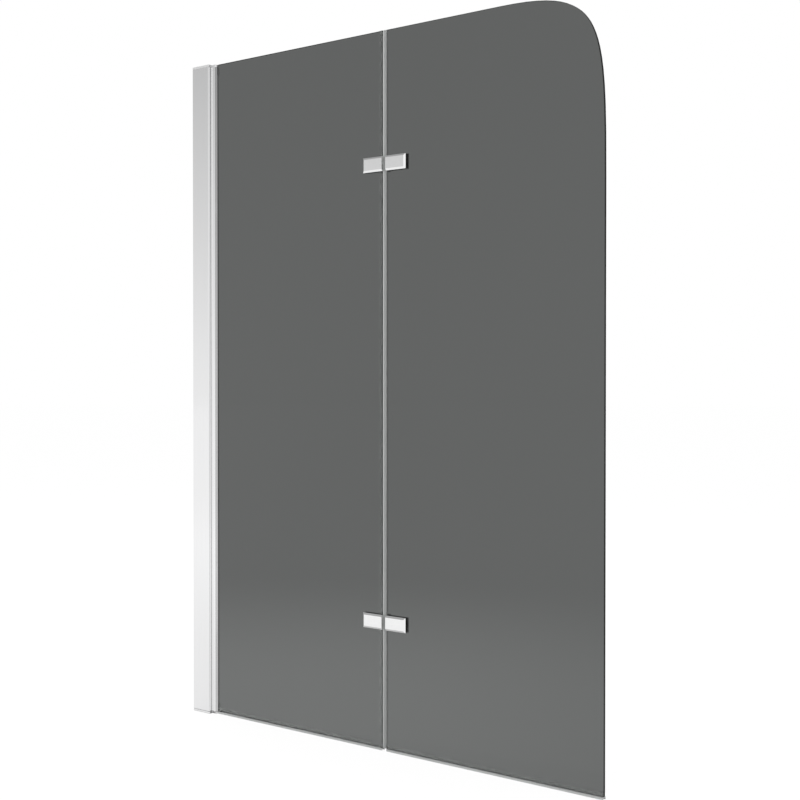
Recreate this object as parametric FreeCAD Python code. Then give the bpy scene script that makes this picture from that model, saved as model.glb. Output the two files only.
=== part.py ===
"""Two-panel folding bath screen, in millimetres.

+X runs from the wall to the free edge, -Y is the front, +Z is up. The origin is on the wall face,
in the middle of the post, at the level of the bath rim.
"""
import FreeCAD
import Part
import math
import os

# Whole screen
screen_width = 1000.0          # wall to the free edge of the outer pane
screen_height = 1400.0         # bath rim to the top of the panes
glass_thickness = 6.0
fold_place = 521.0             # wall to the fold axis
inner_pane_gap = 6.3           # fold axis to the edge of the inner pane
outer_pane_gap = 4.25          # fold axis to the edge of the outer pane
corner_run = 214.0             # swept top corner, along the top edge
corner_drop = 333.0            # swept top corner, down the free edge
corner_top_share = 0.98        # how far the curve leans along the top edge
corner_side_share = 0.85       # how far the curve leans along the free edge
glass_arris = 0.5              # ground edges of the panes

# Fits and clearances
running_gap = 0.05             # radial, a pin that turns
fixed_gap = 0.02               # radial, a piece that stays put
seat_gap = 0.4                 # round faces that turn past each other
side_gap = 0.3                 # flat faces that turn past each other
overrun = 5.0                  # how far a cut reaches past what it cuts
same_place = 0.0001            # two corners this close are one

# Wall post
post_width = 48.75             # wall to the lips of the post
post_depth = 34.0              # front to back
post_wall = 2.0
post_shadow_gap = 0.5          # post edge to the wall
post_edge_radius = 2.2
lip_length = 6.0
chamber_length = 7.4           # hollow between the web and the round seat

# Wall channel inside the post
channel_wall = 2.0
channel_slide_gap = 0.5        # channel flange to the inside of the post
channel_end_gap = 3.0          # flange edge to the web of the post
channel_top_gap = 1.0          # channel to the top cap
wall_hole_radius = 3.0
wall_hole_inset = 100.0        # first and last hole, from the rim and from the top
wall_hole_shares = (0.0, 1.0 / 3.0, 2.0 / 3.0, 1.0)
width_travel = 15.0            # how far the post slides out

# Clamp screws through the back of the post
clamp_place = 8.0              # from the wall
clamp_shares = (0.08, 0.5, 0.92)
clamp_radius = 2.0
clamp_head_radius = 4.0
clamp_head_height = 2.4
clamp_slot_gap = 0.3
nut_plate_length = 10.0
nut_plate_height = 14.0
nut_plate_thickness = 3.0
nut_plate_gap = 0.2
cover_wall = 1.0
cover_gap = 0.5

# End caps
cap_thickness = 5.0
cap_edge_break = 0.6
cap_seam_height = 0.5          # shadow line between the cap and the post
cap_seam_depth = 1.0
cap_overhang = 1.0             # cap past the lips of the post, over the gap beside the barrel
cap_roof = 1.5                 # cap over the bearing
cap_nose_radius = 7.9          # round end of the cap about the pivot axis, inside the notch of the pane
cap_slot_gap = 0.5             # cap to the wall channel
port_boss_radius = 3.4         # screw ports in the post
port_sink = 0.2
cap_screw_radius = 1.75
cap_head_radius = 3.2
cap_head_depth = 1.6
cap_screw_length = 16.0

# Wall pivot
pivot_stand_off = 5.5          # lips of the post to the pivot axis
barrel_radius = 12.0
barrel_reach = 8.8             # pivot axis to the tip of the front jaw
nose_start = 6.5               # pivot axis to where the front jaw leaves the round
back_jaw_reach = 2.0           # pivot axis to the tip of the back jaw
back_jaw_tip = 0.8             # flat at the tip of the back jaw
barrel_edge_radius = 0.6
slot_depth = 5.0               # pivot axis back to the floor of the glazing slot
gasket_wall = 1.6
gasket_floor = 1.5
gasket_lip = 0.8               # gasket past the front jaw
gasket_back_lip = 0.5          # gasket past the back jaw
pivot_pin_radius = 3.0
pivot_pin_bite = 12.0          # pin inside its plug
pivot_pin_end_gap = 0.5
pin_chamfer = 0.4
plug_height = 15.0
plug_side_gap = 0.05
plug_corner_gap = 0.5          # notched pane to its plug
grub_radius = 2.5
grub_sink = 0.5                # below the round of the barrel
bearing_wall = 2.4
bearing_length = 16.0          # pivot axis back to the tail of the bearing
bearing_head_width = 15.0
bearing_head_length = 3.0
washer_thickness = 1.0

# Hinges at the fold
lower_hinge_height = 250.9     # from the rim
upper_hinge_drop = 257.7       # from the top of the panes
leaf_length = 47.8
leaf_height = 29.0
leaf_opening = 9.0             # between the two leaves of a hinge
front_plate_thickness = 4.5
back_leaf_thickness = 6.0
pad_thickness = 1.0
pad_inset = 1.0
bevel_width = 3.6
bevel_depth = 2.6
plate_edge_radius = 0.4
hinge_axis_rise = 1.5          # back face of the leaf to the fold axis
knuckle_radius = 4.5
knuckle_web = 6.0
middle_knuckle_length = 9.8
hinge_pin_radius = 2.5
hinge_pin_inset = 0.5
bush_wall = 0.9
hinge_screw_place = 16.0       # from the fold side of the leaf
hinge_screw_pitch = 19.0
hinge_screw_radius = 2.5
hinge_head_radius = 4.6
hinge_head_depth = 2.6
hinge_screw_bite = 3.0         # screw inside the front plate
hinge_hole_end_gap = 0.2
glass_hole_radius = 6.0
sleeve_gap = 0.2
socket_sides = 6
socket_flats = 3.0
socket_depth = 1.4

# Seals
bottom_seal_height = 5.0       # rim to the bottom edge of the panes
bottom_seal_wall = 1.2
bottom_seal_floor = 1.6
bottom_seal_leg = 8.0          # up the face of the pane
bottom_seal_start = 10.0       # from the pivot axis
fold_seal_wall = 1.0
fold_seal_leg = 7.5
fold_seal_hinge_gap = 1.0
fold_seal_clip_gap = 0.5

# Worked out from the sizes above
half_glass = glass_thickness / 2
half_post = post_depth / 2
post_inside = half_post - post_wall
pivot_place = post_width + pivot_stand_off
seat_radius = barrel_radius + seat_gap
web_place = pivot_place - seat_radius - post_wall - chamber_length - post_wall
channel_reach = web_place - channel_end_gap
channel_outside = post_inside - channel_slide_gap
channel_inside = channel_outside - channel_wall
channel_top = screen_height - cap_thickness - channel_top_gap
post_foot = cap_thickness
post_head = screen_height - cap_thickness
port_place = web_place + post_wall + port_boss_radius - port_sink
port_side = post_inside - port_boss_radius + port_sink
nose_radius = pivot_pin_radius + bearing_wall
barrel_foot = cap_thickness + washer_thickness
barrel_head = screen_height - barrel_foot
slot_floor = pivot_place - slot_depth
slot_half = half_glass + gasket_wall
barrel_end = pivot_place + barrel_reach
back_jaw_end = pivot_place + back_jaw_reach
notch_height = barrel_foot + plug_height + plug_corner_gap
inner_edge = fold_place - inner_pane_gap
outer_edge = fold_place + outer_pane_gap
glass_foot = bottom_seal_height
half_leaf = leaf_height / 2
half_knuckle = middle_knuckle_length / 2
front_face = -half_glass - pad_thickness - front_plate_thickness
back_root = half_glass + pad_thickness
back_face = back_root + back_leaf_thickness
fold_axis_y = back_face + hinge_axis_rise
bush_radius = hinge_pin_radius + running_gap + bush_wall
hinge_heights = {"lower": lower_hinge_height, "upper": screen_height - upper_hinge_drop}
leaf_sides = {"inner": -1, "outer": 1}


def point(x, y, z):
    return FreeCAD.Vector(x, y, z)


def block(x0, x1, y0, y1, z0, z1):
    """Box between two corners, given in any order."""
    low = point(min(x0, x1), min(y0, y1), min(z0, z1))
    return Part.makeBox(abs(x1 - x0), abs(y1 - y0), abs(z1 - z0), low)


def upright(radius, x, y, z0, z1):
    """Round bar along Z."""
    return Part.makeCylinder(radius, z1 - z0, point(x, y, z0))


def crosswise(radius, x, z, y0, y1):
    """Round bar along Y."""
    return Part.makeCylinder(radius, y1 - y0, point(x, y0, z), point(0, 1, 0))


def lengthwise(radius, z, x0, x1):
    """Round bar along X, in the middle of the glass."""
    return Part.makeCylinder(radius, x1 - x0, point(x0, 0, z), point(1, 0, 0))


def prism(points, travel):
    """Straight-sided solid: a closed outline pushed along a vector."""
    return Part.Face(Part.makePolygon(points + points[:1])).extrude(travel)


def export(name, *solids):
    """Write one node: a single solid, or a group of like solids."""
    shape = solids[0] if len(solids) == 1 else Part.makeCompound(list(solids))
    shape.exportStep("parts/" + name + ".step")


def post_outline(width, z0, z1):
    """Solid post section of a given width with its two lip corners rounded."""
    near = post_shadow_gap
    straight = width - post_edge_radius
    side = half_post - post_edge_radius
    bulge = post_edge_radius * math.sqrt(0.5)
    front = Part.Arc(
        point(straight, -half_post, z0),
        point(straight + bulge, -side - bulge, z0),
        point(width, -side, z0),
    )
    back = Part.Arc(
        point(width, side, z0),
        point(straight + bulge, side + bulge, z0),
        point(straight, half_post, z0),
    )
    edges = [
        Part.makeLine(point(near, -half_post, z0), point(straight, -half_post, z0)),
        front.toShape(),
        Part.makeLine(point(width, -side, z0), point(width, side, z0)),
        back.toShape(),
        Part.makeLine(point(straight, half_post, z0), point(near, half_post, z0)),
        Part.makeLine(point(near, half_post, z0), point(near, -half_post, z0)),
    ]
    return Part.Face(Part.Wire(edges)).extrude(point(0, 0, z1 - z0))


def clamp_heights():
    return [share * screen_height for share in clamp_shares]


def wall_channel():
    """U channel with wall holes in its web and clamp slots in its back flange."""
    body = block(0, channel_reach, -channel_outside, channel_outside, 0, channel_top)
    reach = channel_reach + overrun
    top = channel_top + overrun
    body = body.cut(block(channel_wall, reach, -channel_inside, channel_inside, -overrun, top))
    span = screen_height - 2 * wall_hole_inset
    depth = channel_wall + 2 * overrun
    for share in wall_hole_shares:
        mouth = point(-overrun, 0, wall_hole_inset + share * span)
        body = body.cut(Part.makeCylinder(wall_hole_radius, depth, mouth, point(1, 0, 0)))
    slot_radius = clamp_radius + clamp_slot_gap
    for height in clamp_heights():
        ends = [
            crosswise(slot_radius, place, height, channel_inside - overrun, channel_outside + overrun)
            for place in (clamp_place, clamp_place + width_travel)
        ]
        middle = block(
            clamp_place,
            clamp_place + width_travel,
            channel_inside - overrun,
            channel_outside + overrun,
            height - slot_radius,
            height + slot_radius,
        )
        body = body.cut(ends[0].fuse(middle).fuse(ends[1]))
    return body


def wall_post():
    """Post: open towards the wall, a web, a hollow chamber with screw ports, and a round seat."""
    body = post_outline(post_width, post_foot, post_head)
    low = post_foot - overrun
    high = post_head + overrun
    body = body.cut(block(-overrun, web_place, -post_inside, post_inside, low, high))
    body = body.cut(upright(seat_radius, pivot_place, 0, low, high))
    chamber = block(web_place + post_wall, post_width - lip_length, -post_inside, post_inside, low, high)
    chamber = chamber.cut(upright(seat_radius + post_wall, pivot_place, 0, low, high))
    for side in (-port_side, port_side):
        chamber = chamber.cut(upright(port_boss_radius, port_place, side, low, high))
        body = body.cut(upright(cap_screw_radius + fixed_gap, port_place, side, low, high))
    body = body.cut(chamber)
    for height in clamp_heights():
        near = post_inside - overrun
        far = half_post + overrun
        body = body.cut(crosswise(clamp_radius + fixed_gap, clamp_place, height, near, far))
    return body


def mirrored_to_top(shape):
    """The same piece at the top end of the screen."""
    return shape.mirror(point(0, 0, screen_height / 2), point(0, 0, 1))


def bearing_blank(spare, z_floor):
    """Keyed tail and round nose of the pivot bearing, grown by a fitting gap."""
    tail = pivot_place - bearing_length
    head = block(
        tail - spare,
        tail + bearing_head_length + spare,
        -bearing_head_width / 2 - spare,
        bearing_head_width / 2 + spare,
        cap_roof,
        cap_thickness,
    )
    neck = block(tail, pivot_place, -nose_radius - spare, nose_radius + spare, cap_roof, cap_thickness)
    nose = upright(nose_radius + spare, pivot_place, 0, z_floor, cap_thickness)
    return head.fuse(neck).fuse(nose).removeSplitter()


def cap_screw(side):
    """Countersunk screw, flush with the underside of the bottom cap."""
    head = Part.makeCone(cap_head_radius, cap_screw_radius, cap_head_depth, point(port_place, side, 0))
    shank = upright(cap_screw_radius, port_place, side, cap_head_depth, cap_screw_length)
    return head.fuse(shank).cut(hex_socket(point(port_place, side, 0), point(0, 0, 1)))


def hex_socket(mouth, inward):
    """Hexagon recess that goes inward from the mouth of a screw head."""
    across = point(0, 0, 1) if inward.z == 0 else point(0, 1, 0)
    turn = FreeCAD.Rotation(inward, 360 / socket_sides)
    arm = across * (socket_flats / 2 / math.cos(math.pi / socket_sides))
    points = []
    for corner in range(socket_sides):
        points.append(mouth + arm)
        arm = turn.multVec(arm)
    return prism(points, inward * socket_depth)


def cap_blank():
    """Cap with its rim broken, a neck that leaves a shadow line under the post, and a nose about the pivot."""
    width = post_width + cap_overhang
    seam = cap_thickness - cap_seam_height
    body = post_outline(width, 0, seam)
    rim = [edge for edge in body.Edges if edge.BoundBox.ZMax < same_place]
    body = body.makeChamfer(cap_edge_break, rim)
    side = half_post - cap_seam_depth
    neck = block(post_shadow_gap, width - cap_seam_depth, -side, side, seam, cap_thickness)
    nose = upright(cap_nose_radius, pivot_place, 0, 0, cap_thickness)
    tip = [edge for edge in nose.Edges if edge.BoundBox.ZMax < same_place]
    return body.fuse(neck).fuse(nose.makeChamfer(cap_edge_break, tip))


def bottom_end_cap():
    """Cap round the channel, with countersunk screw holes and a keyed pocket for the bearing."""
    body = cap_blank()
    reach = channel_reach + cap_slot_gap
    body = body.cut(block(-overrun, reach, -post_inside, post_inside, -overrun, cap_thickness + overrun))
    body = body.cut(bearing_blank(fixed_gap, -overrun))
    for side in (-port_side, port_side):
        body = body.cut(cap_screw_hole(side))
    return body


def top_end_cap():
    """Closed cap that covers the channel, with the same screw holes and pocket."""
    body = cap_blank()
    body = body.cut(bearing_blank(fixed_gap, -overrun))
    for side in (-port_side, port_side):
        body = body.cut(cap_screw_hole(side))
    return mirrored_to_top(body)


def cap_screw_hole(side):
    sink = Part.makeCone(
        cap_head_radius + fixed_gap, cap_screw_radius + fixed_gap, cap_head_depth, point(port_place, side, 0)
    )
    return sink.fuse(upright(cap_screw_radius + fixed_gap, port_place, side, 0, cap_thickness + overrun))


def pivot_bearing():
    """Keyed bearing with a running bore for the lower pin."""
    bore = upright(pivot_pin_radius + running_gap, pivot_place, 0, -overrun, cap_thickness + overrun)
    return bearing_blank(0, 0).cut(bore)


def thrust_washer():
    ring = upright(nose_radius, pivot_place, 0, cap_thickness, barrel_foot)
    return ring.cut(upright(pivot_pin_radius + running_gap, pivot_place, 0, 0, barrel_foot + overrun))


def clamp_screw(height):
    """Pan-head screw from the back of the post into its nut plate."""
    tip = channel_inside - nut_plate_gap - nut_plate_thickness
    shank = crosswise(clamp_radius, clamp_place, height, tip, half_post)
    head = crosswise(clamp_head_radius, clamp_place, height, half_post, half_post + clamp_head_height)
    mouth = point(clamp_place, half_post + clamp_head_height, height)
    return shank.fuse(head).cut(hex_socket(mouth, point(0, -1, 0)))


def clamp_nut_plate(height):
    face = channel_inside - nut_plate_gap
    plate = block(
        clamp_place - nut_plate_length / 2,
        clamp_place + nut_plate_length / 2,
        face - nut_plate_thickness,
        face,
        height - nut_plate_height / 2,
        height + nut_plate_height / 2,
    )
    return plate.cut(crosswise(clamp_radius + fixed_gap, clamp_place, height, 0, half_post))


def clamp_screw_cover(height):
    """Snap-on dome over the head of a clamp screw."""
    inside = clamp_head_radius + cover_gap
    rise = clamp_head_height + cover_gap
    outer = crosswise(inside + cover_wall, clamp_place, height, half_post, half_post + rise + cover_wall)
    rim = [edge for edge in outer.Edges if edge.BoundBox.YMin > half_post + rise]
    outer = outer.makeFillet(cover_wall, rim)
    return outer.cut(crosswise(inside, clamp_place, height, half_post - overrun, half_post + rise))


def corners_at(body, place):
    """Upright edges of a body that stand at one distance from the wall."""
    found = []
    for edge in body.Edges:
        span = edge.BoundBox
        if abs(span.XMin - place) + abs(span.XMax - place) + span.YLength < same_place:
            found.append(edge)
    return found


def outside_jaws(low, high):
    """All that lies past the slanted nose of the front jaw and the sloping back of the back jaw."""
    far = pivot_place + 2 * barrel_radius
    wide = 2 * barrel_radius
    nose = pivot_place + nose_start
    nose_side = math.sqrt(barrel_radius ** 2 - nose_start ** 2)
    front = [(nose, -wide), (nose, -nose_side), (barrel_end, -slot_half), (barrel_end, 0)]
    front += [(far, 0), (far, -wide)]
    tip_side = slot_half + back_jaw_tip
    back = [(back_jaw_end, 0), (back_jaw_end, tip_side), (back_jaw_end - wide, tip_side + wide)]
    back += [(far, tip_side + wide), (far, 0)]
    travel = point(0, 0, high - low)
    cuts = [prism([point(x, y, low) for x, y in outline], travel) for outline in (front, back)]
    return cuts[0].fuse(cuts[1])


def pivot_profile():
    """Barrel that turns in the seat of the post, with a long front jaw and a short back jaw for the pane."""
    body = upright(barrel_radius, pivot_place, 0, barrel_foot, barrel_head)
    low = barrel_foot - overrun
    high = barrel_head + overrun
    body = body.cut(outside_jaws(low, high))
    body = body.makeFillet(barrel_edge_radius, corners_at(body, pivot_place + nose_start))
    body = body.cut(block(slot_floor, barrel_end + overrun, -slot_half, slot_half, low, high))
    for height in grub_heights():
        mouth = pivot_place - barrel_radius - overrun
        body = body.cut(lengthwise(grub_radius + fixed_gap, height, mouth, pivot_place))
    return body


def grub_heights():
    low = barrel_foot + plug_height / 2
    return (low, screen_height - low)


def grub_screw(height):
    """Headless screw from the closed side of the barrel that locks a plug and its pin."""
    mouth = pivot_place - barrel_radius + grub_sink
    body = lengthwise(grub_radius, height, mouth, pivot_place - pivot_pin_radius - fixed_gap)
    return body.cut(hex_socket(point(mouth, 0, height), point(1, 0, 0)))


def pivot_plug():
    """Block in the bottom of the glazing slot that holds the pivot pin."""
    side = slot_half - plug_side_gap
    body = block(slot_floor, barrel_end, -side, side, barrel_foot, barrel_foot + plug_height)
    low = barrel_foot - overrun
    high = barrel_foot + pivot_pin_bite
    bore = upright(pivot_pin_radius + fixed_gap, pivot_place, 0, low, high)
    lock = lengthwise(grub_radius + fixed_gap, grub_heights()[0], slot_floor - overrun, pivot_place)
    return body.cut(bore).cut(lock)


def chamfered(pin):
    """Pin with both ends broken."""
    rims = [edge for edge in pin.Edges if edge.BoundBox.ZLength < same_place]
    return pin.makeChamfer(pin_chamfer, rims)


def pivot_pin():
    top = barrel_foot + pivot_pin_bite
    return chamfered(upright(pivot_pin_radius, pivot_place, 0, pivot_pin_end_gap, top))


def glazing_gasket():
    """U-shaped gasket between the pane and the barrel, one leg to each jaw."""
    tip = barrel_end + gasket_lip
    low = notch_height
    high = screen_height - notch_height
    outer = block(slot_floor, tip, -slot_half, 0, low, high)
    outer = outer.fuse(block(slot_floor, back_jaw_end + gasket_back_lip, 0, slot_half, low, high))
    inside = slot_floor + gasket_floor
    gasket = outer.cut(block(inside, tip + overrun, -half_glass, half_glass, low - overrun, high + overrun))
    return gasket.removeSplitter()


def hinge_hole_places(side):
    first = fold_place + side * (leaf_opening / 2 + hinge_screw_place)
    return (first, first + side * hinge_screw_pitch)


def drilled(pane, side):
    """Pane with the clamp holes of both hinges, and every edge of its two faces ground."""
    reach = half_glass + overrun
    for height in hinge_heights.values():
        for place in hinge_hole_places(side):
            pane = pane.cut(crosswise(glass_hole_radius, place, height, -reach, reach))
    sharp = [edge for edge in pane.Edges if edge.BoundBox.YLength < same_place]
    return pane.makeChamfer(glass_arris, sharp)


def inner_glass():
    """Pane with its two pivot corners notched."""
    left = slot_floor + gasket_floor
    pane = block(left, inner_edge, -half_glass, half_glass, glass_foot, screen_height)
    reach = barrel_end + plug_corner_gap
    for low, high in ((0, notch_height), (screen_height - notch_height, screen_height + overrun)):
        notch = block(left - overrun, reach, -half_glass - overrun, half_glass + overrun, low, high)
        pane = pane.cut(notch)
    return drilled(pane, leaf_sides["inner"])


def outer_glass():
    """Pane whose top corner sweeps down to the free edge in one curve."""
    y = -half_glass
    foot_in = point(outer_edge, y, glass_foot)
    foot_out = point(screen_width, y, glass_foot)
    curve_low = point(screen_width, y, screen_height - corner_drop)
    curve_high = point(screen_width - corner_run, y, screen_height)
    head_in = point(outer_edge, y, screen_height)
    sweep = Part.BezierCurve()
    sweep.setPoles(
        [
            curve_low,
            curve_low + point(0, 0, corner_drop * corner_side_share),
            curve_high + point(corner_run * corner_top_share, 0, 0),
            curve_high,
        ]
    )
    edges = [
        Part.makeLine(foot_in, foot_out),
        Part.makeLine(foot_out, curve_low),
        sweep.toShape(),
        Part.makeLine(curve_high, head_in),
        Part.makeLine(head_in, foot_in),
    ]
    pane = Part.Face(Part.Wire(edges)).extrude(point(0, glass_thickness, 0))
    return drilled(pane, leaf_sides["outer"])


def bottom_seal(x0, x1):
    """H section: the upper jaws grip the pane, the lower fins stand on the rim."""
    half = half_glass + bottom_seal_wall
    top = glass_foot + bottom_seal_leg
    body = block(x0, x1, -half, half, 0, top)
    body = body.cut(block(x0 - overrun, x1 + overrun, -half_glass, half_glass, glass_foot, top + overrun))
    arch = glass_foot - bottom_seal_floor
    return body.cut(block(x0 - overrun, x1 + overrun, -half_glass, half_glass, -overrun, arch))


def fold_clip(z0, z1):
    """Clip round the edge of the inner pane."""
    web = inner_edge + fold_seal_wall
    half = half_glass + fold_seal_wall
    clip = block(inner_edge - fold_seal_leg, web, -half, half, z0, z1)
    mouth = inner_edge - fold_seal_leg - overrun
    return clip.cut(block(mouth, inner_edge, -half_glass, half_glass, z0 - overrun, z1 + overrun))


def fold_seal():
    """Hollow bulb in the fold opening, the full height, with its clip parted at the hinges."""
    web = inner_edge + fold_seal_wall
    tip = outer_edge - side_gap
    low = glass_foot
    high = screen_height
    seal = block(inner_edge, tip, -half_glass, half_glass, low, high)
    clear = half_leaf + fold_seal_hinge_gap
    lower = hinge_heights["lower"]
    upper = hinge_heights["upper"]
    clip_foot = glass_foot + bottom_seal_leg + fold_seal_clip_gap
    seal = seal.fuse(fold_clip(clip_foot, lower - clear))
    seal = seal.fuse(fold_clip(lower + clear, upper - clear))
    seal = seal.fuse(fold_clip(upper + clear, high))
    hollow_half = half_glass - fold_seal_wall
    hollow = block(web, tip - fold_seal_wall, -hollow_half, hollow_half, low - overrun, high + overrun)
    return seal.cut(hollow).removeSplitter()


def bevelled_plate(side, y_root, y_face, height):
    """Hinge plate with three bevelled edges: top, bottom and the end away from the fold."""
    near = fold_place + side * leaf_opening / 2
    far = near + side * leaf_length
    y_bevel = y_face - math.copysign(bevel_depth, y_face)
    slab = block(near, far, y_root, y_bevel, height - half_leaf, height + half_leaf)
    outlines = []
    for y, inset in ((y_bevel, 0), (y_face, bevel_width)):
        low = height - half_leaf + inset
        high = height + half_leaf - inset
        end = far - side * inset
        corners = [point(near, y, low), point(end, y, low), point(end, y, high), point(near, y, high)]
        outlines.append(Part.makePolygon(corners + corners[:1]))
    plate = slab.fuse(Part.makeLoft(outlines, True, True)).removeSplitter()
    return plate.makeFillet(plate_edge_radius, plate.Edges)


def front_plate(side, height):
    """Bevelled cover plate with blind holes for the clamp screws."""
    plate = bevelled_plate(side, -half_glass - pad_thickness, front_face, height)
    floor = -half_glass - pad_thickness - hinge_screw_bite - hinge_hole_end_gap
    for place in hinge_hole_places(side):
        plate = plate.cut(crosswise(hinge_screw_radius + fixed_gap, place, height, floor, 0))
    return plate


def knuckle_bands(side):
    """Heights of a leaf's own knuckles, from the middle of the hinge."""
    if side == leaf_sides["outer"]:
        return ((-half_knuckle, half_knuckle),)
    ends = half_knuckle + side_gap
    return ((-half_leaf, -ends), (ends, half_leaf))


def cleared_bands(side):
    """Heights where a leaf makes room for the other leaf's knuckles."""
    if side == leaf_sides["inner"]:
        reach = half_knuckle + side_gap
        return ((-reach, reach),)
    return ((-half_leaf - overrun, -half_knuckle), (half_knuckle, half_leaf + overrun))


def back_leaf(side, height):
    """Bevelled leaf with its knuckles on the fold axis behind the panes."""
    leaf = bevelled_plate(side, back_root, back_face, height)
    near = fold_place + side * leaf_opening / 2
    room = knuckle_radius + seat_gap
    for low, high in cleared_bands(side):
        leaf = leaf.cut(upright(room, fold_place, fold_axis_y, height + low, height + high))
    root = near + side * knuckle_web
    floor = fold_axis_y - knuckle_radius
    for low, high in knuckle_bands(side):
        web = block(root, fold_place, floor, back_face, height + low, height + high)
        barrel = upright(knuckle_radius, fold_place, fold_axis_y, height + low, height + high)
        leaf = leaf.fuse(web).fuse(barrel)
    leaf = leaf.removeSplitter()
    bore = bush_radius if side == leaf_sides["outer"] else hinge_pin_radius
    reach = half_leaf + overrun
    leaf = leaf.cut(upright(bore + fixed_gap, fold_place, fold_axis_y, height - reach, height + reach))
    for place in hinge_hole_places(side):
        sink = Part.makeCone(
            hinge_screw_radius + fixed_gap,
            hinge_head_radius + fixed_gap,
            hinge_head_depth,
            point(place, back_face - hinge_head_depth, height),
            point(0, 1, 0),
        )
        leaf = leaf.cut(sink).cut(crosswise(hinge_screw_radius + fixed_gap, place, height, 0, back_face))
    return leaf


def hinge_pad(side, height, y0, y1):
    """Soft pad between a plate and the pane."""
    near = inner_edge if side == leaf_sides["inner"] else outer_edge
    far = fold_place + side * (leaf_opening / 2 + leaf_length - pad_inset)
    reach = half_leaf - pad_inset
    return block(near, far, y0, y1, height - reach, height + reach)


def front_pad(side, height):
    pad = hinge_pad(side, height, -half_glass - pad_thickness, -half_glass)
    for place in hinge_hole_places(side):
        pad = pad.cut(crosswise(hinge_screw_radius + running_gap, place, height, -half_post, 0))
    return pad


def back_pad(side, height):
    """Pad with two sleeves that keep the screws off the glass."""
    pad = hinge_pad(side, height, half_glass, back_root)
    for place in hinge_hole_places(side):
        pad = pad.fuse(crosswise(glass_hole_radius - sleeve_gap, place, height, -half_glass, half_glass))
    for place in hinge_hole_places(side):
        pad = pad.cut(crosswise(hinge_screw_radius + running_gap, place, height, -half_post, half_post))
    return pad.removeSplitter()


def hinge_screw(place, height):
    """Countersunk screw from the back leaf through the pane into the front plate."""
    tip = -half_glass - pad_thickness - hinge_screw_bite
    shank = crosswise(hinge_screw_radius, place, height, tip, back_face - hinge_head_depth)
    head = Part.makeCone(
        hinge_screw_radius,
        hinge_head_radius,
        hinge_head_depth,
        point(place, back_face - hinge_head_depth, height),
        point(0, 1, 0),
    )
    return shank.fuse(head).cut(hex_socket(point(place, back_face, height), point(0, -1, 0)))


def hinge_pin(height):
    reach = half_leaf - hinge_pin_inset
    return chamfered(upright(hinge_pin_radius, fold_place, fold_axis_y, height - reach, height + reach))


def hinge_bush(height):
    ring = upright(bush_radius, fold_place, fold_axis_y, height - half_knuckle, height + half_knuckle)
    bore = hinge_pin_radius + running_gap
    return ring.cut(upright(bore, fold_place, fold_axis_y, height - half_leaf, height + half_leaf))


def export_post():
    export("wall_channel", wall_channel())
    export("wall_post", wall_post())
    export("top_end_cap", top_end_cap())
    export("bottom_end_cap", bottom_end_cap())
    lower_screws = [cap_screw(side) for side in (-port_side, port_side)]
    export("bottom_cap_screws", *lower_screws)
    export("top_cap_screws", *[mirrored_to_top(screw) for screw in lower_screws])
    export("clamp_screws", *[clamp_screw(height) for height in clamp_heights()])
    export("clamp_nut_plates", *[clamp_nut_plate(height) for height in clamp_heights()])
    export("clamp_screw_covers", *[clamp_screw_cover(height) for height in clamp_heights()])
    export("lower_pivot_bearing", pivot_bearing())
    export("upper_pivot_bearing", mirrored_to_top(pivot_bearing()))
    export("pivot_thrust_washer", thrust_washer())


def export_inner_panel():
    export("pivot_profile", pivot_profile())
    export("lower_pivot_plug", pivot_plug())
    export("upper_pivot_plug", mirrored_to_top(pivot_plug()))
    export("lower_pivot_pin", pivot_pin())
    export("upper_pivot_pin", mirrored_to_top(pivot_pin()))
    export("plug_grub_screws", *[grub_screw(height) for height in grub_heights()])
    export("glazing_gasket", glazing_gasket())
    export("inner_glass", inner_glass())
    export("inner_bottom_seal", bottom_seal(pivot_place + bottom_seal_start, inner_edge))
    export("fold_seal", fold_seal())


def export_outer_panel():
    export("outer_glass", outer_glass())
    export("outer_bottom_seal", bottom_seal(outer_edge, screen_width))


def export_hinge(level, height):
    for leaf, side in leaf_sides.items():
        name = level + "_hinge_" + leaf
        export(name + "_front_plate", front_plate(side, height))
        export(name + "_back_leaf", back_leaf(side, height))
        export(name + "_front_pad", front_pad(side, height))
        export(name + "_back_pad", back_pad(side, height))
        export(name + "_screws", *[hinge_screw(place, height) for place in hinge_hole_places(side)])
    export(level + "_hinge_pin", hinge_pin(height))
    export(level + "_hinge_bush", hinge_bush(height))


os.makedirs("parts", exist_ok=True)
export_post()
export_inner_panel()
export_outer_panel()
for hinge_level, hinge_height in hinge_heights.items():
    export_hinge(hinge_level, hinge_height)
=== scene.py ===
"""Folding bath screen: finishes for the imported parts, soft seals and pads, studio stage and camera."""
import math

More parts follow.
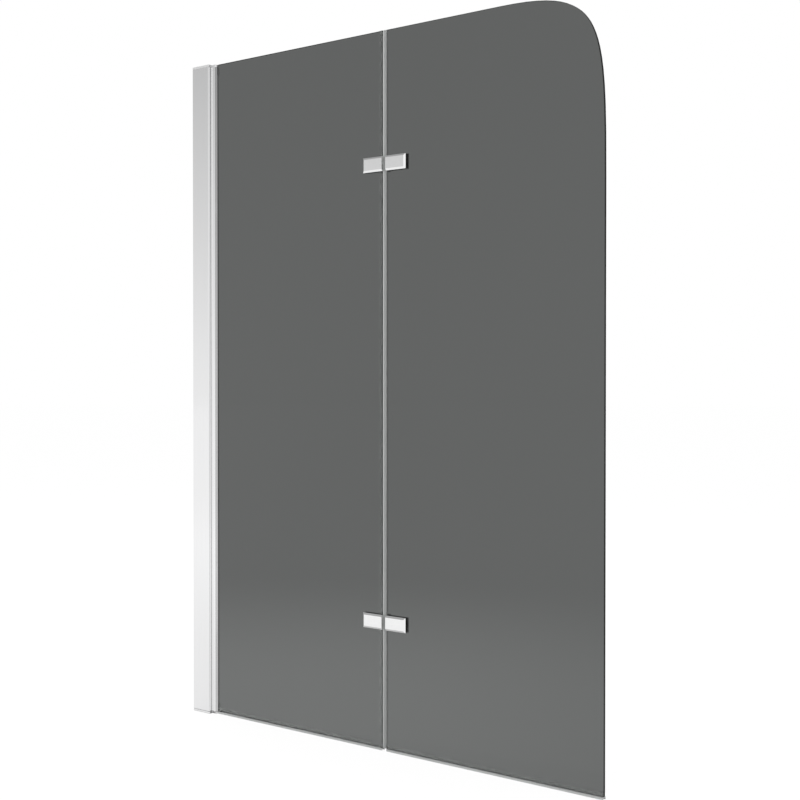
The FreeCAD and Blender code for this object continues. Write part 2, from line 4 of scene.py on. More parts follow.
import bpy
import numpy as np
from bpy.props import FloatProperty, FloatVectorProperty, PointerProperty
from mathutils.geometry import tessellate_polygon
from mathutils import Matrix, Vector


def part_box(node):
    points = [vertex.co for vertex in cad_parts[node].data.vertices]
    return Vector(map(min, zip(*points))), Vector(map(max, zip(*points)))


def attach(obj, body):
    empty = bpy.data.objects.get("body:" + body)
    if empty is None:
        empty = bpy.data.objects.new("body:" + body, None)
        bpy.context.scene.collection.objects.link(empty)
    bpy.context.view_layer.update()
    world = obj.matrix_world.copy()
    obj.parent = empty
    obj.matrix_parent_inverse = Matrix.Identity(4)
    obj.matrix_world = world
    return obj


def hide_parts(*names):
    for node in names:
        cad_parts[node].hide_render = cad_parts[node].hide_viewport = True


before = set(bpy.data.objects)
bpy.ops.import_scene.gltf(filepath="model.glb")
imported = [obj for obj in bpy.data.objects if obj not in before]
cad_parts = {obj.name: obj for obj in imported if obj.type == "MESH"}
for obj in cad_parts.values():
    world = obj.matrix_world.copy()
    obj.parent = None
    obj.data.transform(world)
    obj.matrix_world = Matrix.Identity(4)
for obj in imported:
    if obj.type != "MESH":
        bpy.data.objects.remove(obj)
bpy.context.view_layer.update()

bl_info = {
    "name": "Folding bath screen",
    "version": (1, 0, 0),
    "blender": (4, 5, 0),
    "location": "View3D > Sidebar > Bath screen",
    "description": "Finishes, seals, pads and stage for a two-panel folding bath screen",
    "category": "Object",
}

MM = 0.001

LEVELS = ("lower", "upper")
LEAVES = ("inner", "outer")
PANEL_OF_LEAF = {"inner": "inner_panel", "outer": "outer_panel"}


def named(*endings):
    """Names of the hinge nodes with these endings, on both hinges and both leaves."""
    return [f"{level}_hinge_{leaf}_{end}" for level in LEVELS for leaf in LEAVES for end in endings]


def length(name, description, default, low, high):
    """A size in metres that a user may change."""
    return FloatProperty(
        name=name, description=description, default=default, min=low, max=high, unit="LENGTH", precision=5
    )


def colour(name, description, default):
    """A linear colour."""
    return FloatVectorProperty(
        name=name, description=description, default=default, size=3, min=0.0, max=1.0, subtype="COLOR"
    )


def spot(name, description, default):
    """A place in the room, in metres."""
    return FloatVectorProperty(
        name=name, description=description, default=default, size=3, subtype="TRANSLATION", unit="LENGTH"
    )


class SealSizes(bpy.types.PropertyGroup):
    """Sizes of the soft pieces, of the painted shade in the joint between the post and its foot, and of the
    flat on the barrel.
    """

    film: length("Film", "Air film between a soft piece and the glass", 0.05 * MM, 0.0, 1.0 * MM)
    floor: length("Floor", "Floor between the jaws and the fins", 1.6 * MM, 0.5 * MM, 3.0 * MM)
    fin_tip: length("Fin tip", "Thickness of a fin at its tip", 0.6 * MM, 0.2 * MM, 1.2 * MM)
    lead_in: length("Lead-in", "Sloped mouth of the jaws", 0.6 * MM, 0.0, 1.0 * MM)
    clip_wall: length("Clip wall", "Wall of the fold seal", 1.0 * MM, 0.4 * MM, 2.0 * MM)
    heel: length("Heel", "Stiff heel of the fold seal, past its web", 3.1 * MM, 1.0 * MM, 5.0 * MM)
    bulb_tip: length("Bulb tip", "Radius of the round nose of the fold seal", 2.2 * MM, 0.5 * MM, 3.0 * MM)
    lip: length("Gasket lip", "Gasket past the front jaw of the barrel", 0.8 * MM, 0.3 * MM, 4.0 * MM)
    back_leg: length("Gasket step", "Front leg of the gasket past the back one", 7.1 * MM, 0.0, 10.0 * MM)
    round: length("Rounding", "Radius of moulded corners", 0.3 * MM, 0.05 * MM, 1.0 * MM)
    hinge_gap: length("Hinge gap", "Clip of the fold seal to a hinge plate", 1.0 * MM, 0.2 * MM, 5.0 * MM)
    strip_gap: length("Strip gap", "Clip of the fold seal to the bottom seal", 0.5 * MM, 0.1 * MM, 5.0 * MM)
    pad_corner: length("Pad corner", "Corner radius of a hinge pad", 2.0 * MM, 0.2 * MM, 6.0 * MM)
    # Height of the painted shade band in the joint over the bottom cap
    foot_painted_shade: length("Foot joint", "Dark joint over the bottom cap", 0.5 * MM, 0.1 * MM, 2.0 * MM)
    flat_start: length("Flat start", "Flat of the barrel before its middle", 1.0 * MM, 0.0, 4.0 * MM)
    flat_width: length("Flat width", "Width of the flat of the barrel", 4.0 * MM, 1.0 * MM, 6.0 * MM)


class FinishColours(bpy.types.PropertyGroup):
    """Colours and gloss of the finishes."""

    glass: colour("Smoked glass", "Light that a pane lets through, before depth", (0.176, 0.1815, 0.179))
    glass_edge: colour("Glass edge", "Light that an upright edge lets through", (0.004, 0.0042, 0.004))
    glass_depth: FloatProperty(
        name="Glass depth", description="Absorption per metre of glass", default=60.0, min=0.0, max=2000.0
    )
    glass_gloss: colour("Glass gloss", "Strength of the mirror image in the glass", (0.15, 0.15, 0.15))
    aluminium: colour("Bright aluminium", "Polished post and pivot profile", (0.93, 0.93, 0.935))
    mill: colour("Mill aluminium", "Plain wall channel", (0.74, 0.75, 0.76))
    chrome: colour("Chrome", "Hinge plates and leaves", (0.95, 0.952, 0.955))
    silver: colour("Silver plastic", "Metallised end caps and screw covers", (0.92, 0.922, 0.925))
    steel: colour("Steel", "Screws, pins and nut plates", (0.66, 0.65, 0.63))
    clear_pvc: colour("Clear PVC", "Clips and jaws of the seals", (0.97, 0.975, 0.97))
    soft_pvc: colour("Soft PVC", "Bulb of the fold seal", (0.345, 0.355, 0.35))
    stiff_pvc: colour("Stiff PVC", "Heel of the fold seal, fins of the bottom seals", (0.415, 0.425, 0.42))
    rubber: colour("Rubber", "Hinge pads", (0.018, 0.018, 0.019))
    gasket: colour("Gasket", "Glazing gasket", (0.075, 0.075, 0.076))
    nylon: colour("Nylon", "Plugs and bushes", (0.03, 0.03, 0.032))
    acetal: colour("Acetal", "Pivot bearings and washer", (0.6, 0.6, 0.6))


class StageSizes(bpy.types.PropertyGroup):
    """Floor, light and camera."""

    floor_radius: length("Floor radius", "Radius of the round floor", 30.0, 2.0, 60.0)
    floor_gap: length("Floor gap", "Floor below the foot of the screen", 0.5 * MM, 0.0, 0.1)
    floor_colour: colour("Floor colour", "Pale floor", (0.97, 0.97, 0.97))
    near_glow: FloatProperty(
        name="Near glow",
        description="Floor close to the screen, seen through glass",
        default=1.36,
        min=1.0,
        max=2.0,
    )
    ambient: FloatProperty(
        name="Ambient", description="World light on the object", default=1.0, min=0.0, max=2.0
    )
    key_power: FloatProperty(name="Key", description="Key lamp", default=80.0, min=0.0, unit="POWER")
    fill_power: FloatProperty(name="Fill", description="Fill lamps", default=35.0, min=0.0, unit="POWER")
    lamp_aim: spot("Lamp aim", "Point that every lamp faces", (0.5, 0.0, 0.7))
    key_place: spot("Key place", "Lamp in front of the wall end", (-1.2, -2.8, 3.0))
    fill_place: spot("Fill place", "Lamp in front of the free end", (3.0, -1.6, 1.8))
    back_place: spot("Back place", "Lamp behind the screen", (0.6, 2.8, 2.6))
    key_width: length("Key width", "Width of the key lamp", 2.2, 0.1, 5.0)
    fill_width: length("Fill width", "Width of the lamp at the free end", 2.0, 0.1, 5.0)
    back_width: length("Back width", "Width of the lamp behind the screen", 2.4, 0.1, 5.0)
    camera_place: spot("Camera", "Place of the camera", (2.10605, -2.017635, 0.731508))
    camera_turn: FloatProperty(
        name="Turn", description="Camera turn about the upright", default=math.radians(38.52), unit="ROTATION"
    )
    camera_dip: FloatProperty(
        name="Dip", description="Camera tilt below the level", default=math.radians(0.7), unit="ROTATION"
    )
    camera_lens: FloatProperty(
        name="Lens", description="Focal length", default=59.409, min=10.0, max=300.0, unit="CAMERA"
    )
    camera_shift: FloatVectorProperty(
        name="Shift",
        description="Shift of the lens, in widths of the picture",
        default=(0.028125, -0.0105),
        size=2,
    )


# Shapes

def rounded(corners, radius, steps=5):
    """Closed outline with soft corners.

    Each corner C becomes the quadratic curve (1-t)^2 A + 2t(1-t) C + t^2 B, where A and B lie on the
    two edges at the radius from C, or at half of the shorter edge where that is less.
    """
    corners = np.asarray(corners, float)
    before = np.roll(corners, 1, axis=0) - corners
    after = np.roll(corners, -1, axis=0) - corners
    run_before = np.linalg.norm(before, axis=1, keepdims=True)
    run_after = np.linalg.norm(after, axis=1, keepdims=True)
    reach = np.minimum(radius, 0.5 * np.minimum(run_before, run_after))
    start = corners + before / run_before * reach
    end = corners + after / run_after * reach
    t = np.linspace(0.0, 1.0, steps)[None, :, None]
    curve = (1 - t) ** 2 * start[:, None] + 2 * t * (1 - t) * corners[:, None] + t ** 2 * end[:, None]
    return curve.reshape(-1, 2)


def signed_area(loop):
    """Shoelace sum: positive for a loop that runs anticlockwise."""
    x, y = loop[:, 0], loop[:, 1]
    return 0.5 * np.sum(x * np.roll(y, -1) - np.roll(x, -1) * y)


def ring_quads(count, rings):
    """Quads between neighbouring rings of `count` points: point j of ring i joins j+1 and ring i+1."""
    i, j = np.meshgrid(np.arange(rings - 1), np.arange(count), indexing="ij")
    k = (j + 1) % count
    quads = np.stack([i * count + j, i * count + k, (i + 1) * count + k, (i + 1) * count + j], axis=-1)
    return quads.reshape(-1, 4)


def extruded(loops, low, high, axes):
    """Closed straight piece: an outer loop, with any hollow loops inside it, carried from low to high.

    A profile point (u, v) at height w becomes the point whose coordinates along the three named
    axes, in right-handed order, are u, v and w. The two ends are filled flat between the loops.
    The faces come as arrays of quads and of triangles.
    """
    outer, hollows = loops[0], loops[1:]
    if signed_area(outer) < 0:
        outer = outer[::-1]
    ordered = [outer] + [h[::-1] if signed_area(h) > 0 else h for h in hollows]
    flat = np.concatenate(ordered)
    count = len(flat)
    place = np.empty((2 * count, 3))
    place[:, axes[0]] = np.tile(flat[:, 0], 2)
    place[:, axes[1]] = np.tile(flat[:, 1], 2)
    place[:, axes[2]] = np.repeat((low, high), count)
    starts = np.cumsum([0] + [len(loop) for loop in ordered])
    sides = []
    for start, loop in zip(starts, ordered):
        here = np.arange(len(loop)) + start
        there = np.roll(here, -1)
        sides.append(np.stack([here, there, there + count, here + count], axis=1))
    level = [np.column_stack([loop, np.zeros(len(loop))]).tolist() for loop in ordered]
    fill = np.array(tessellate_polygon(level))
    a, b, c = (flat[fill[:, n]] for n in range(3))
    turned = np.cross(b - a, c - a) < 0
    fill[turned] = fill[turned][:, ::-1]
    return place, [np.concatenate(sides), fill[:, ::-1], fill + count]


def inset_outline(outline, inset):
    """Outline moved inwards: each point goes along the mitre of its two edge normals."""
    forward = np.roll(outline, -1, axis=0) - outline
    forward /= np.linalg.norm(forward, axis=1, keepdims=True)
    ahead = np.stack([-forward[:, 1], forward[:, 0]], axis=1)
    behind = np.roll(ahead, 1, axis=0)
    mitre = (ahead + behind) / (1.0 + np.sum(ahead * behind, axis=1, keepdims=True))
    return outline + inset * mitre


def soft_slab(outline, depth_low, depth_high, bulge, steps=7):
    """Thin pad: an outline in X and Z whose rim is a half round.

    The rim angle a runs from -90 to 90 degrees. The outline is inset by bulge (1 - cos a) and the
    depth is the middle plus half the thickness times sin a. Flat caps close the two faces.
    """
    if signed_area(outline) < 0:
        outline = outline[::-1]
    angle = np.linspace(-0.5 * math.pi, 0.5 * math.pi, steps)
    middle = 0.5 * (depth_low + depth_high)
    half = 0.5 * (depth_high - depth_low)
    rings = []
    for a in angle:
        ring = inset_outline(outline, bulge * (1.0 - math.cos(a)))
        depth = np.full(len(ring), middle + half * math.sin(a))
        rings.append(np.column_stack([ring[:, 0], depth, ring[:, 1]]))
    count = len(outline)
    first = np.arange(count)
    last = first[::-1] + (steps - 1) * count
    return np.concatenate(rings), [ring_quads(count, steps)[:, ::-1], first[None], last[None]]


def make_piece(name, parts, body, replaced):
    """One mesh object that rides on a body in place of CAD nodes.

    Each part is an array of places, its arrays of faces and the name of its finish.
    """
    places, faces, looks, base = [], [], [], 0
    used = list(dict.fromkeys(finish for place, blocks, finish in parts))
    for place, blocks, finish in parts:
        places.append(place)
        for block in blocks:
            faces += (block + base).tolist()
            looks += [used.index(finish)] * len(block)
        base += len(place)
    mesh = bpy.data.meshes.new(name)
    mesh.from_pydata(np.concatenate(places).tolist(), [], faces)
    mesh.polygons.foreach_set("material_index", looks)
    for finish in used:
        mesh.materials.append(finishes()[finish])
    piece = bpy.data.objects.new(name, mesh)
    bpy.context.scene.collection.objects.link(piece)
    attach(piece, body)
    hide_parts(*replaced)
    return piece


# Materials

def new_material(name):
    """A material and its main shader node."""
    material = bpy.data.materials.new(name)
    material.use_nodes = True
    return material, material.node_tree.nodes["Principled BSDF"]


def add(material, kind, **values):
    """A node whose inputs are set by name, with underscores for spaces."""
    node = material.node_tree.nodes.new(kind)
    for key, value in values.items():
        node.inputs[key.replace("_", " ")].default_value = value
    return node


def join(material, source, target):
    """Link two sockets."""
    material.node_tree.links.new(source, target)


def grain(material, scale, detail=4.0, rough=0.5):
    """Noise on Object coordinates, stretched by a scale for each axis."""
    place = add(material, "ShaderNodeTexCoord")
    stretch = add(material, "ShaderNodeMapping", Scale=scale)
    noise = add(material, "ShaderNodeTexNoise", Scale=1.0, Detail=detail, Roughness=rough)
    join(material, place.outputs["Object"], stretch.inputs["Vector"])
    join(material, stretch.outputs["Vector"], noise.inputs["Vector"])
    return noise.outputs["Fac"]


def spread(material, factor, low, high):
    """Factor from 0.25 to 0.75 mapped to low and high."""
    node = add(material, "ShaderNodeMapRange", From_Min=0.25, From_Max=0.75, To_Min=low, To_Max=high)
    join(material, factor, node.inputs["Value"])
    return node.outputs["Result"]


def between(material, factor, first, second):
    """Colour between two colours."""
    ramp = material.node_tree.nodes.new("ShaderNodeValToRGB")
    ramp.color_ramp.elements[0].position = 0.3
    ramp.color_ramp.elements[0].color = (*first, 1.0)
    ramp.color_ramp.elements[1].position = 0.7
    ramp.color_ramp.elements[1].color = (*second, 1.0)
    join(material, factor, ramp.inputs["Fac"])
    return ramp.outputs["Color"]


def relief(material, shader, factor, strength, distance):
    """Fine bump, far below the size of any shape."""
    node = add(material, "ShaderNodeBump", Strength=strength, Distance=distance)
    join(material, factor, node.inputs["Height"])
    join(material, node.outputs["Normal"], shader.inputs["Normal"])


def shaded(tone, factor):
    """A colour made darker by a factor."""
    return tuple(channel * factor for channel in tone)


def smoked_glass(colours):
    """Tinted float glass: smoke in the faces, dark upright edges, and a faint unevenness of the melt.

    A place is on an edge where it lies between the two faces of the pane. The dark stops over the bottom
    edge, and fades out under the top one, along the swept corner.
    """
    material, shader = new_material("smoked_glass")
    shader.inputs["Transmission Weight"].default_value = 1.0
    shader.inputs["IOR"].default_value = 1.5
    shader.inputs["Specular Tint"].default_value = (*colours.glass_gloss, 1.0)
    melt = grain(material, (2.5, 2.5, 1.2), detail=3.0)
    smoke = between(material, melt, shaded(colours.glass, 0.985), colours.glass)
    ground = between(material, melt, shaded(colours.glass_edge, 0.9), colours.glass_edge)
    tree = material.node_tree
    place = add(material, "ShaderNodeTexCoord")
    axes = add(material, "ShaderNodeSeparateXYZ")
    join(material, place.outputs["Object"], axes.inputs["Vector"])
    low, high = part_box("outer_glass")
    sideways = math_node(tree, "ABSOLUTE", axes.outputs["Y"], 0.0)
    edge = range_node(tree, sideways, 0.87 * high[1], 0.97 * high[1], 1.0, 0.0)
    over = range_node(tree, axes.outputs["Z"], low[2] + 0.2 * MM, low[2] + 0.6 * MM, 0.0, 1.0)
    under = range_node(tree, axes.outputs["Z"], high[2] - 66.0 * MM, high[2] - 16.0 * MM, 1.0, 0.0)
    upright = math_node(tree, "MULTIPLY", edge, math_node(tree, "MULTIPLY", over, under))
    tint = tree.nodes.new("ShaderNodeMixRGB")
    join(material, upright, tint.inputs["Fac"])
    join(material, smoke, tint.inputs["Color1"])
    join(material, ground, tint.inputs["Color2"])
    join(material, tint.outputs["Color"], shader.inputs["Base Color"])
    join(material, spread(material, melt, 0.0, 0.004), shader.inputs["Roughness"])
    depth = tree.nodes.new("ShaderNodeVolumeAbsorption")
    depth.inputs["Color"].default_value = (0.0, 0.0, 0.0, 1.0)
    depth.inputs["Density"].default_value = colours.glass_depth
    join(material, depth.outputs["Volume"], tree.nodes["Material Output"].inputs["Volume"])
    return material


def metal(name, tone, rough, stretch, strength, distance, contrast=0.97):
    """Polished or drawn metal: fine lines vary tone, gloss and surface along one direction."""
    material, shader = new_material(name)
    lines = grain(material, stretch, detail=5.0, rough=0.6)
    shader.inputs["Metallic"].default_value = 1.0
    join(material, between(material, lines, shaded(tone, contrast), tone), shader.inputs["Base Color"])
    join(material, spread(material, lines, *rough), shader.inputs["Roughness"])
    relief(material, shader, lines, strength, distance)
    return material


def barrel_aluminium(tone, start, width):
    """Bright aluminium of the barrel, with a narrow flat along its front that leans a little to the wall.

    The flat is a relief that climbs by the square of the way across it over twice the radius of the barrel.
    """
    material = metal("barrel_aluminium", tone, (0.05, 0.12), (700.0, 700.0, 4.0), 0.03, 0.00005)
    tree = material.node_tree
    place = add(material, "ShaderNodeTexCoord")
    axes = add(material, "ShaderNodeSeparateXYZ")
    join(material, place.outputs["Object"], axes.inputs["Vector"])
    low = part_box("pivot_profile")[0]
    radius = -low[1]
    first = low[0] + radius - start
    across = range_node(tree, axes.outputs["X"], first, first + width, 0.0, 1.0)
    front = range_node(tree, axes.outputs["Y"], -MM, 0.0, 1.0, 0.0)
    climb = math_node(tree, "MULTIPLY", math_node(tree, "MULTIPLY", across, across), front)
    flat = add(material, "ShaderNodeBump", Strength=1.0, Distance=width * width / (2.0 * radius))
    join(material, climb, flat.inputs["Height"])
    lines = tree.nodes["Principled BSDF"].inputs["Normal"].links[0].from_node
    join(material, flat.outputs["Normal"], lines.inputs["Normal"])
    return material


def foot_silver_painted_shade(tone, joint):
    """Silver plastic of the bottom cap, with painted shade: black in the narrow joint at its top."""
    material = metal("silver_foot_painted_shade", tone, (0.3, 0.42), (1600.0, 1600.0, 1600.0), 0.06, 0.00004)
    shader = material.node_tree.nodes["Principled BSDF"]
    place = add(material, "ShaderNodeTexCoord")
    axes = add(material, "ShaderNodeSeparateXYZ")
    join(material, place.outputs["Object"], axes.inputs["Vector"])
    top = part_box("bottom_end_cap")[1][2]
    # Painted shade: the top of the cap turns near black in the joint, where shade falls
    painted_shade_band = range_node(material.node_tree, axes.outputs["Z"], top - 1.3 * joint, top - 1.05 * joint, 0.0, 1.0)
    tint = add(material, "ShaderNodeMixRGB", Color2=(0.01, 0.01, 0.01, 1.0))
    join(material, painted_shade_band, tint.inputs["Fac"])
    join(material, shader.inputs["Base Color"].links[0].from_socket, tint.inputs["Color1"])
    join(material, tint.outputs["Color"], shader.inputs["Base Color"])
    return material


def moulded(name, tone, rough, scale, strength, distance, contrast=0.9):
    """Moulded plastic or rubber: small even grain."""
    material, shader = new_material(name)
    pores = grain(material, (scale, scale, scale), detail=3.0)
    join(material, between(material, pores, shaded(tone, contrast), tone), shader.inputs["Base Color"])
    join(material, spread(material, pores, *rough), shader.inputs["Roughness"])
    relief(material, shader, pores, strength, distance)
    return material, shader


def clear_pvc(colours):
    """Stiff clear PVC that wets the glass, so it hardly mirrors, with faint flow marks."""
    material, shader = moulded("clear_pvc", colours.clear_pvc, (0.02, 0.08), 120.0, 0.02, 0.0001, 0.98)
    shader.inputs["Transmission Weight"].default_value = 1.0
    shader.inputs["IOR"].default_value = 1.15
    return material


def milky_pvc(name, tone, passing):
    """Milky PVC: part of the light passes, with flow marks."""
    material, shader = moulded(name, tone, (0.3, 0.42), 260.0, 0.08, 0.0002, 0.95)
    shader.inputs["Transmission Weight"].default_value = passing
    shader.inputs["IOR"].default_value = 1.5
    return material


FINISHES = {}


def finishes():
    """All finishes, made once from the colours in the scene."""
    if FINISHES:
        return FINISHES
    c = bpy.context.scene.screen_colours
    sizes = bpy.context.scene.screen_seals
    FINISHES.update(
        glass=smoked_glass(c),
        aluminium=metal("bright_aluminium", c.aluminium, (0.05, 0.12), (700.0, 700.0, 4.0), 0.03, 0.00005),
        barrel=barrel_aluminium(c.aluminium, sizes.flat_start, sizes.flat_width),
        mill=metal("mill_aluminium", c.mill, (0.3, 0.45), (900.0, 900.0, 6.0), 0.15, 0.0001, 0.85),
        chrome=metal("chromed_brass", c.chrome, (0.03, 0.07), (160.0, 160.0, 160.0), 0.015, 0.00005),
        silver=metal("silver_plastic", c.silver, (0.3, 0.42), (1600.0, 1600.0, 1600.0), 0.06, 0.00004),
        # Bottom cap: silver with a painted shade band in the joint at its top
        foot=foot_silver_painted_shade(c.silver, sizes.foot_painted_shade),
        steel=metal("stainless_steel", c.steel, (0.18, 0.32), (1400.0, 300.0, 1400.0), 0.1, 0.00005, 0.85),
        clear_pvc=clear_pvc(c),
        soft_pvc=milky_pvc("soft_pvc", c.soft_pvc, 0.5),
        stiff_pvc=milky_pvc("stiff_pvc", c.stiff_pvc, 0.3),
        rubber=moulded("black_rubber", c.rubber, (0.55, 0.75), 1500.0, 0.3, 0.0001, 0.6)[0],
        gasket=moulded("gasket_rubber", c.gasket, (0.5, 0.7), 1500.0, 0.3, 0.0001, 0.8)[0],
        nylon=moulded("black_nylon", c.nylon, (0.38, 0.52), 1200.0, 0.15, 0.00005, 0.7)[0],
        acetal=moulded("grey_acetal", c.acetal, (0.3, 0.42), 900.0, 0.08, 0.00005, 0.94)[0],
    )
    return FINISHES


def dress(nodes, finish):
    """Give CAD nodes a finish in place of their plain one."""
    material = finishes()[finish]
    for name in nodes:
        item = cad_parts[name]
        for place in item.material_slots:
            place.material = material


# Operators

class SCREEN_OT_panes(bpy.types.Operator):
    """Smoked glass on both panes"""

    bl_idname = "bath_screen.panes"
    bl_label = "Panes"

    def execute(self, context):
        dress(["inner_glass", "outer_glass"], "glass")
        return {"FINISHED"}


class SCREEN_OT_post(bpy.types.Operator):
    """Polished aluminium on the post and pivot profile, mill finish on the hidden channel"""

    bl_idname = "bath_screen.post"
    bl_label = "Post and profiles"

    def execute(self, context):
        dress(["wall_post"], "aluminium")
        dress(["pivot_profile"], "barrel")
        dress(["wall_channel"], "mill")
        return {"FINISHED"}


class SCREEN_OT_caps(bpy.types.Operator):
    """Silver plastic on the end caps and screw covers"""

    bl_idname = "bath_screen.caps"
    bl_label = "End caps and covers"

    def execute(self, context):
        dress(["top_end_cap", "clamp_screw_covers"], "silver")
        # The bottom cap's silver carries a painted shade band at its top
        dress(["bottom_end_cap"], "foot")
        return {"FINISHED"}


class SCREEN_OT_hinges(bpy.types.Operator):
    """Polished chrome on the hinge plates and leaves"""

    bl_idname = "bath_screen.hinges"
    bl_label = "Hinges"

    def execute(self, context):
        dress(named("front_plate", "back_leaf"), "chrome")
        return {"FINISHED"}


class SCREEN_OT_fasteners(bpy.types.Operator):
    """Stainless steel on the screws, pins and nut plates"""

    bl_idname = "bath_screen.fasteners"
    bl_label = "Screws and pins"

    def execute(self, context):
        screws = ["top_cap_screws", "bottom_cap_screws", "clamp_screws", "plug_grub_screws"]
        pins = ["lower_pivot_pin", "upper_pivot_pin", "lower_hinge_pin", "upper_hinge_pin"]
        dress(screws + pins + ["clamp_nut_plates"] + named("screws"), "steel")
        return {"FINISHED"}


class SCREEN_OT_bearings(bpy.types.Operator):
    """Grey acetal on the pivot bearings and washer, black nylon on the plugs and hinge bushes"""

    bl_idname = "bath_screen.bearings"
    bl_label = "Bearings and bushes"

    def execute(self, context):
        dress(["upper_pivot_bearing", "lower_pivot_bearing", "pivot_thrust_washer"], "acetal")
        dress(["lower_pivot_plug", "upper_pivot_plug", "lower_hinge_bush", "upper_hinge_bush"], "nylon")
        return {"FINISHED"}


def both_sides(half):
    """A half profile and its mirror image as one closed loop."""
    half = np.asarray(half, float)
    mirror = half[::-1] * (-1.0, 1.0)
    return np.concatenate([half, mirror])


class SCREEN_OT_bottom_seals(bpy.types.Operator):
    """Strips under both panes: clear jaws up the glass, a milky floor and tapered fins down to the rim"""

    bl_idname = "bath_screen.bottom_seals"
    bl_label = "Bottom seals"

    def execute(self, context):
        sizes = context.scene.screen_seals
        for leaf in LEAVES:
            node = leaf + "_bottom_seal"
            low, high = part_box(node)
            glass_low, glass_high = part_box(leaf + "_glass")
            parts = [self.fins(sizes, low, high, glass_low, glass_high)]
            parts += [self.jaw(sizes, side, low, high, glass_low, glass_high) for side in (-1.0, 1.0)]
            make_piece(leaf + "_bottom_strip", parts, PANEL_OF_LEAF[leaf], [node])
        return {"FINISHED"}

    def fins(self, sizes, low, high, glass_low, glass_high):
        """Arch section: a floor under the glass and two fins that thin towards the rim."""
        step = glass_low[2] - sizes.film
        half = [
            (glass_high[1], step),
            (high[1], step),
            (high[1], low[2]),
            (high[1] - sizes.fin_tip, low[2]),
            (glass_high[1], step - sizes.floor),
        ]
        loop = rounded(both_sides(half), sizes.round)
        return (*extruded([loop], low[0], high[0], (1, 2, 0)), "stiff_pvc")

    def jaw(self, sizes, side, low, high, glass_low, glass_high):
        """Flat leg on one face of the pane, with a sloped mouth."""
        inside = glass_high[1] + sizes.film
        foot = glass_low[2] - 0.5 * sizes.floor
        corners = [
            (inside, foot),
            (inside, high[2] - sizes.lead_in),
            (inside + 0.5 * sizes.lead_in, high[2]),
            (high[1], high[2] - 0.5 * sizes.lead_in),
            (high[1], foot),
        ]
        loop = rounded(np.multiply(corners, (side, 1.0)), sizes.round)
        return (*extruded([loop], low[0], high[0], (1, 2, 0)), "clear_pvc")


class SCREEN_OT_fold_seal(bpy.types.Operator):
    """Strip in the fold: clear clip on the inner pane, cut at the hinges, stiff heel and hollow bulb"""

    bl_idname = "bath_screen.fold_seal"
    bl_label = "Fold seal"

    def execute(self, context):
        sizes = context.scene.screen_seals
        low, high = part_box("fold_seal")
        pane_low, pane_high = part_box("inner_glass")
        parts = [self.bulb(sizes, low, high, pane_high), self.heel(sizes, low, high, pane_high)]
        for foot, head in self.lengths(sizes, high):
            for side in (-1.0, 1.0):
                parts.append(self.leg(sizes, side, low, high, pane_high, foot, head))
        make_piece("fold_strip", parts, "inner_panel", ["fold_seal"])
        return {"FINISHED"}

    def bulb(self, sizes, low, high, pane_high):
        """Hollow D section, let into the heel and round towards the other pane."""
        root = pane_high[0] + sizes.clip_wall + sizes.heel - sizes.round
        outer = self.nose_loop(sizes, root, high[0], pane_high[1] - sizes.film, sizes.bulb_tip)
        wall = sizes.clip_wall
        inner_tip = sizes.bulb_tip - 0.5 * wall
        hollow = self.nose_loop(sizes, root + wall, high[0] - wall, pane_high[1] - wall, inner_tip)
        return (*extruded([outer, hollow], low[2], high[2], (0, 1, 2)), "soft_pvc")

    def heel(self, sizes, low, high, pane_high):
        """Flat bar past the web of the clip, as thick as the glass."""
        near = pane_high[0] + sizes.clip_wall
        far = near + sizes.heel
        side = pane_high[1]
        loop = rounded([(near, -side), (far, -side), (far, side), (near, side)], sizes.round)
        return (*extruded([loop], low[2], high[2], (0, 1, 2)), "stiff_pvc")

    def nose_loop(self, sizes, root, tip, half_width, nose):
        """Flat root, straight sides and a nose in three chords, softened at every corner."""
        half = [
            (root, -half_width),
            (tip - nose, -half_width),
            (tip - 0.25 * nose, -half_width + 0.4 * nose),
            (tip, -half_width + nose),
        ]
        half = np.asarray(half)
        return rounded(np.concatenate([half, half[::-1] * (1.0, -1.0)]), sizes.round)

    def leg(self, sizes, side, low, high, pane_high, foot, head):
        """Flat leg of the clip on one face of the pane, hooked into the bulb."""
        inside = pane_high[1] + sizes.film
        edge = pane_high[0] + sizes.film
        web = edge + sizes.clip_wall
        corners = [
            (low[0] + sizes.lead_in, inside),
            (edge, inside),
            (edge, pane_high[1] - 0.3 * sizes.clip_wall),
            (web, pane_high[1] - 0.3 * sizes.clip_wall),
            (web, high[1]),
            (low[0] + 0.3 * sizes.lead_in, high[1]),
            (low[0], inside + 0.4 * sizes.lead_in),
        ]
        loop = rounded(np.multiply(corners, (1.0, side)), sizes.round)
        return (*extruded([loop], foot, head, (0, 1, 2)), "clear_pvc")

    def lengths(self, sizes, high):
        """Foot and head of the three clip lengths, above the bottom seal and clear of each hinge."""
        clear = sizes.hinge_gap
        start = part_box("inner_bottom_seal")[1][2] + sizes.strip_gap
        lower_low, lower_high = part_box("lower_hinge_inner_front_plate")
        upper_low, upper_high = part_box("upper_hinge_inner_front_plate")
        return (
            (start, lower_low[2] - clear),
            (lower_high[2] + clear, upper_low[2] - clear),
            (upper_high[2] + clear, high[2]),
        )


